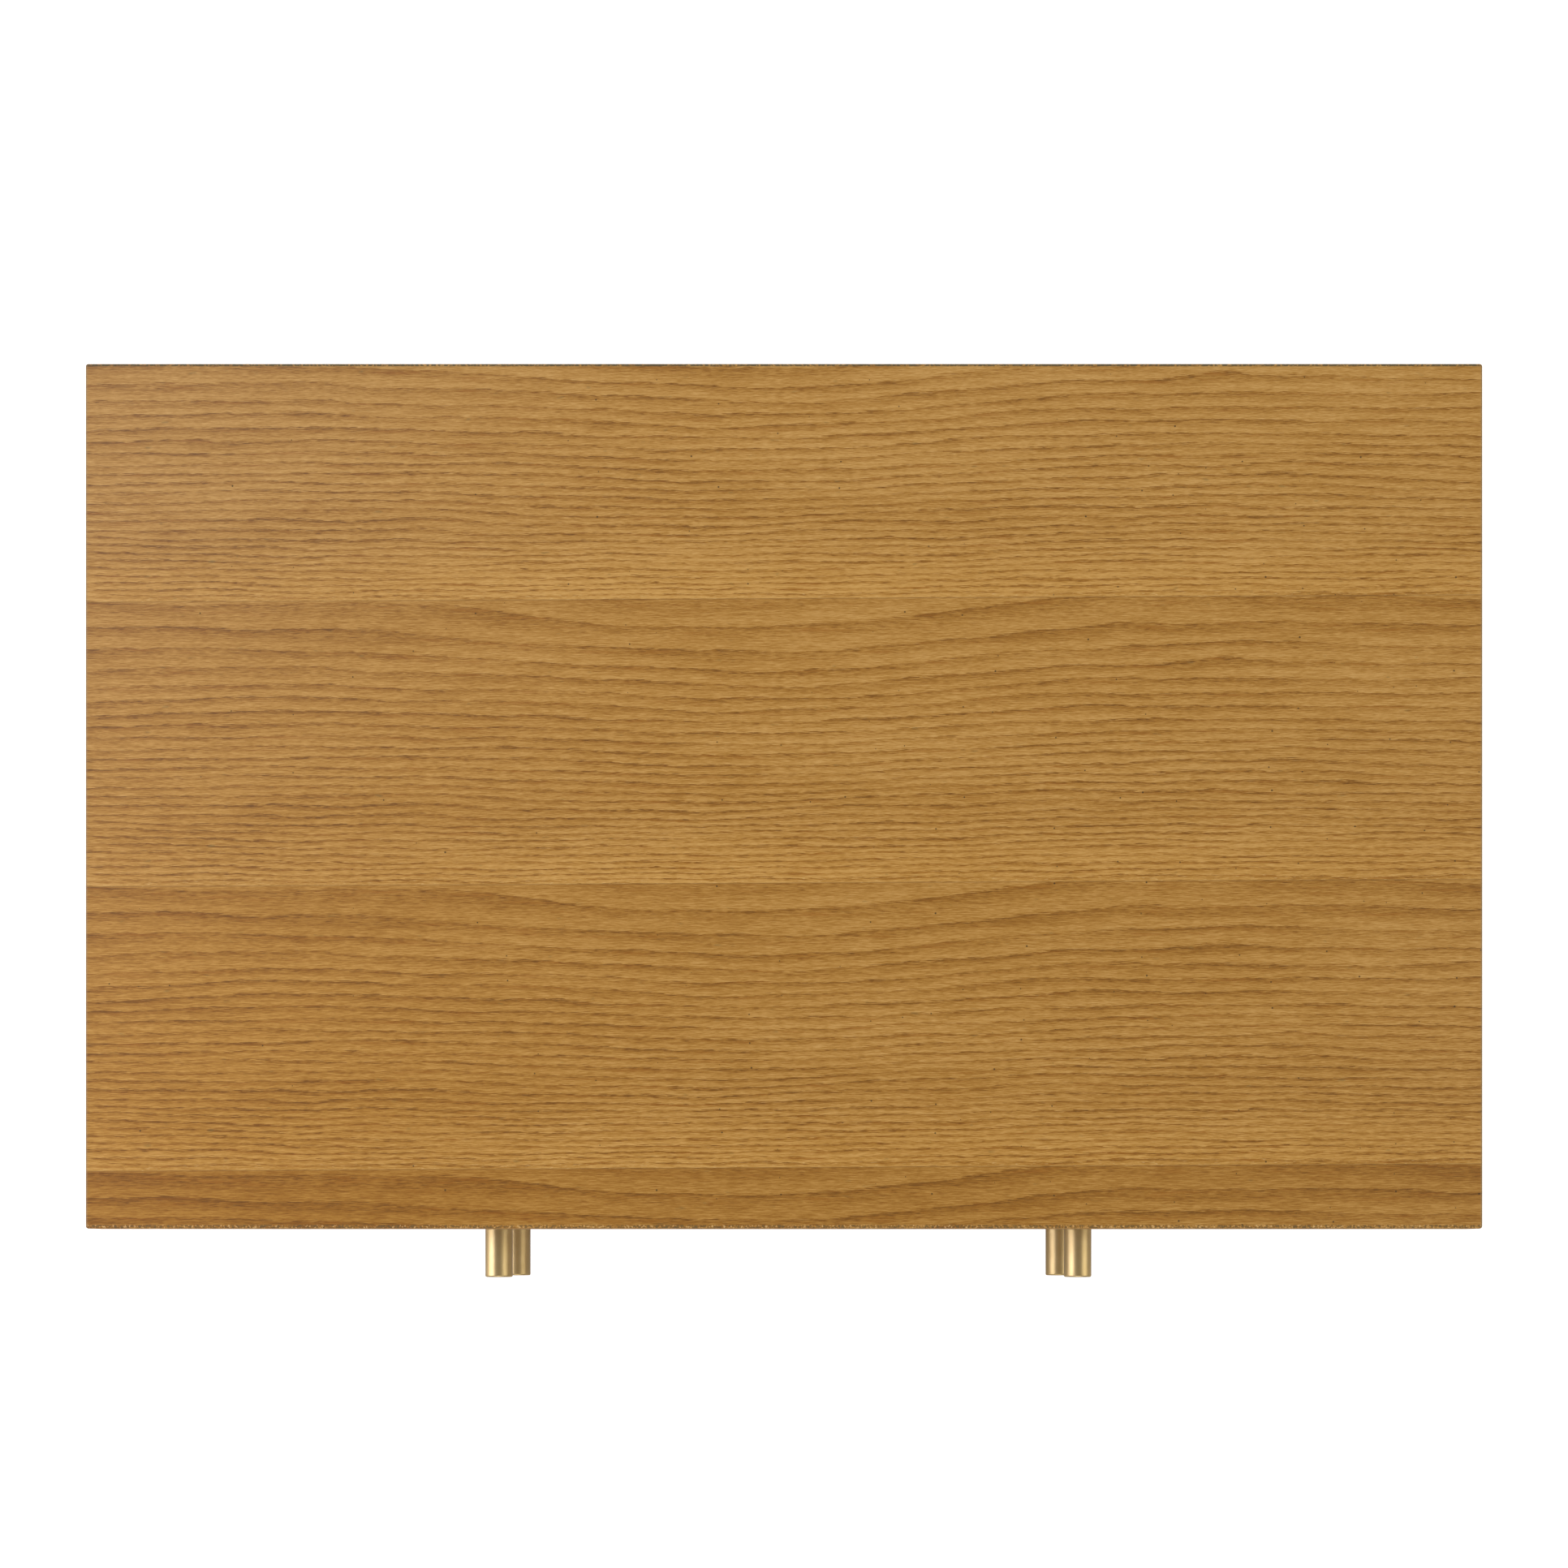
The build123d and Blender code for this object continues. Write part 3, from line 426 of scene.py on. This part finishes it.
def satin_brass():
    """Fine-blasted champagne brass with faint clouds."""
    graph = Graph("knob_brass")
    blast = graph.grit(0.35 * MM, 0.5 * MM, 0.35 * MM, detail=3.0, roughness=0.65)
    cloud = graph.grit(6 * MM, 9 * MM, 6 * MM)
    colour = graph.mix(cloud, BRASS, BRASS_CLOUD)
    roughness = 0.30 + 0.12 * blast + 0.05 * cloud
    return graph.finish(colour, roughness, blast, 0.035 * MM, Metallic=1.0)


def zinc(name, light, dark, roughness, streaks):
    """Plated steel with rolling streaks along Y and a faint mottle."""
    graph = Graph(name)
    mottle = graph.grit(3 * MM, 4 * MM, 3 * MM, detail=3.0)
    lines = graph.grit(0.3 * MM, 30 * MM, 0.3 * MM)
    colour = graph.mix(graph.step(mottle, 0.35, 0.7), light, dark)
    rough = roughness + 0.14 * (mottle - 0.5) + streaks * (lines - 0.5)
    return graph.finish(colour, rough, lines, 0.01 * MM, Metallic=1.0)


# ---- which finish each CAD node takes ----
def wear(nodes, material):
    for node in nodes:
        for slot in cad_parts[node].material_slots:
            slot.material = material


def dress_cabinet():
    wear(["top_face_veneer"], top_veneer())
    wear(["top_edge_lippings"], top_lipping())
    wear(["top_core_board"], plain_wood("core_board", "x", FIBREBOARD))
    wear(["top_backing_veneer"], oak_board("backing_veneer", "x", "y", 51.0, "top_backing_veneer"))
    wear(["left_side_board"], oak_board("left_side_oak", "y", "z", 61.0, "left_side_board"))
    wear(["right_side_board"], oak_board("right_side_oak", "y", "z", 67.0, "right_side_board"))
    wear(["bottom_board"], oak_board("bottom_oak", "x", "y", 71.0, "bottom_board"))
    wear(["case_front_lippings"], case_lipping())
    wear(["back_board"], oak_board("back_board", "x", "z", 73.0, "back_board", pitch=9.0 * MM))
    wear(["feet"], plain_wood("foot_oak", "z", TURNED_OAK, flecks=0.4))
    wear(["foot_pads"], felt())
    wear(["case_dowels"], plain_wood("beech_dowel", "x", BEECH, flecks=0.5))


def dress_drawers():
    along_x = plain_wood("tray_beech_across", "x", BEECH, 3.0, flecks=0.6)
    along_y = plain_wood("tray_beech_lengthwise", "y", BEECH, 5.0, flecks=0.6)
    bars = plain_wood("section_bar", "y", BEECH, 9.0, flecks=0.6)
    lengthwise = plain_wood("partition_lengthwise", "y", MAPLE, 13.0, flecks=0.25)
    crosswise = plain_wood("partition_crosswise", "x", MAPLE, 17.0, flecks=0.25)
    bottom = plain_wood("tray_bottom", "x", BIRCH, 21.0, pitch=7.0 * MM, flecks=0.3)
    brass = satin_brass()
    for number, row in enumerate(ROWS):
        front = row + "_drawer_front"
        wear([front], oak_board(row + "_front_oak", "x", "z", 81.0 + 6.0 * number, front))
        wear([row + "_tray_left_wall", row + "_tray_right_wall"], along_y)
        wear([row + "_tray_front_wall", row + "_tray_back_wall"], along_x)
        wear([row + "_tray_bottom"], bottom)
        wear([row + "_section_bars"], bars)
        wear([row + "_lengthwise_partitions"], lengthwise)
        wear([row + "_crosswise_partitions"], crosswise)
        wear([row + "_knob_left", row + "_knob_right"], brass)


def dress_metalwork():
    slide = zinc("slide_steel", (196, 199, 202), (168, 172, 176), 0.34, 0.10)
    cage = zinc("cage_steel", (170, 170, 168), (140, 140, 138), 0.45, 0.06)
    ball = zinc("ball_steel", (214, 214, 216), (200, 200, 203), 0.12, 0.0)
    screw = zinc("zinc_screw", (200, 202, 200), (166, 168, 164), 0.30, 0.0)
    wear(["back_board_screws", "foot_screws", "slide_screws_in_case"], screw)
    for row in ROWS:
        wear([row + "_slide_" + kind + "_channels" for kind in ("outer", "middle", "inner")], slide)
        wear([row + "_slide_" + kind + "_ball_cages" for kind in ("outer", "inner")], cage)
        wear([row + "_slide_" + kind + "_balls" for kind in ("outer", "inner")], ball)
        wear([row + "_" + kind for kind in ("knob_screws", "front_screws", "slide_screws_in_tray")], screw)


# ---- floor, light and camera ----
FLOOR_PAPER = (214, 214, 213)
FLOOR_GLOW = 0.80  # seen by the camera alone, so that the paper shows white
AIR_LIGHT = 0.29
LAMPS_AIM = Vector((0.0, 0.0, 0.15))
# name, place, width and height, watts, colour
LAMPS = (
    ("left_softbox", (-1.75, 0.1, 1.05), (1.4, 1.7), 31.0, (1.0, 1.01, 1.18)),
    ("right_softbox", (1.7, 0.0, 1.25), (0.9, 1.5), 10.0, (1.0, 0.99, 0.93)),
    ("front_softbox", (0.0, -1.9, 1.5), (1.6, 0.9), 15.0, (1.0, 1.0, 1.0)),
    ("back_softbox", (0.0, 2.1, 1.6), (1.8, 0.9), 15.0, (1.0, 1.0, 1.0)),
)


def floor():
    bpy.ops.mesh.primitive_plane_add(size=12.0)
    plane = bpy.context.object
    plane.name = "floor"
    graph = Graph("floor_paper")
    tooth = graph.noise(graph.x / (4 * MM), graph.y / (4 * MM), detail=3.0)
    seen = graph.node("ShaderNodeLightPath").outputs["Is Camera Ray"]
    glow = Value(graph, seen) * FLOOR_GLOW
    paper = graph.finish(FLOOR_PAPER, 0.9, tooth, 0.1 * MM, Emission_Color=WHITE, Emission_Strength=glow)
    plane.data.materials.append(paper)


def lamp(name, place, size, power, colour):
    light = bpy.data.lights.new(name, "AREA")
    light.shape = "RECTANGLE"
    light.size, light.size_y = size
    light.energy = power
    light.color = colour
    lit = bpy.data.objects.new(name, light)
    bpy.context.scene.collection.objects.link(lit)
    lit.location = place
    lit.rotation_euler = (LAMPS_AIM - Vector(place)).to_track_quat("-Z", "Y").to_euler()
    lit.visible_camera = False


def air():
    """White to the camera, and dimmer as a source of light."""
    world = bpy.data.worlds.new("studio_air")
    world.use_nodes = True
    nodes, links = world.node_tree.nodes, world.node_tree.links
    background = nodes["Background"]
    background.inputs["Color"].default_value = paint(WHITE)
    seen = nodes.new("ShaderNodeLightPath").outputs["Is Camera Ray"]
    strength = nodes.new("ShaderNodeMapRange")
    strength.inputs["To Min"].default_value = AIR_LIGHT
    strength.inputs["To Max"].default_value = 1.0
    links.new(seen, strength.inputs["Value"])
    links.new(strength.outputs[0], background.inputs["Strength"])
    bpy.context.scene.world = world
    bpy.context.scene.view_settings.view_transform = "Standard"


def camera():
    """The lens shift holds only where this leaves the camera, so any other view stays centred."""
    low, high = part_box("top_edge_lippings")
    place = Vector((0.0, low.y - CAMERA_AHEAD_OF_TOP, high.z + CAMERA_ABOVE_TOP))
    data = bpy.data.cameras.new("camera")
    data.sensor_width = SENSOR
    data.lens = SENSOR * CAMERA_ABOVE_TOP / SHOT_WIDTH
    shot = bpy.data.objects.new("camera", data)
    viewpoint = bpy.data.objects.new("reference_viewpoint", None)
    for thing in (shot, viewpoint):
        bpy.context.scene.collection.objects.link(thing)
        thing.location = place
    shift = (SHOT_MIDDLE_FROM_FRONT + CAMERA_AHEAD_OF_TOP) / SHOT_WIDTH
    driver = data.driver_add("shift_y").driver
    gap = driver.variables.new()
    gap.name = "gap"
    gap.type = "LOC_DIFF"
    gap.targets[0].id = shot
    gap.targets[1].id = viewpoint
    driver.expression = f"{shift:.5f} if gap < 0.001 else 0"
    bpy.context.scene.camera = shot


dress_cabinet()
dress_drawers()
dress_metalwork()
floor()
for settings in LAMPS:
    lamp(*settings)
air()
camera()
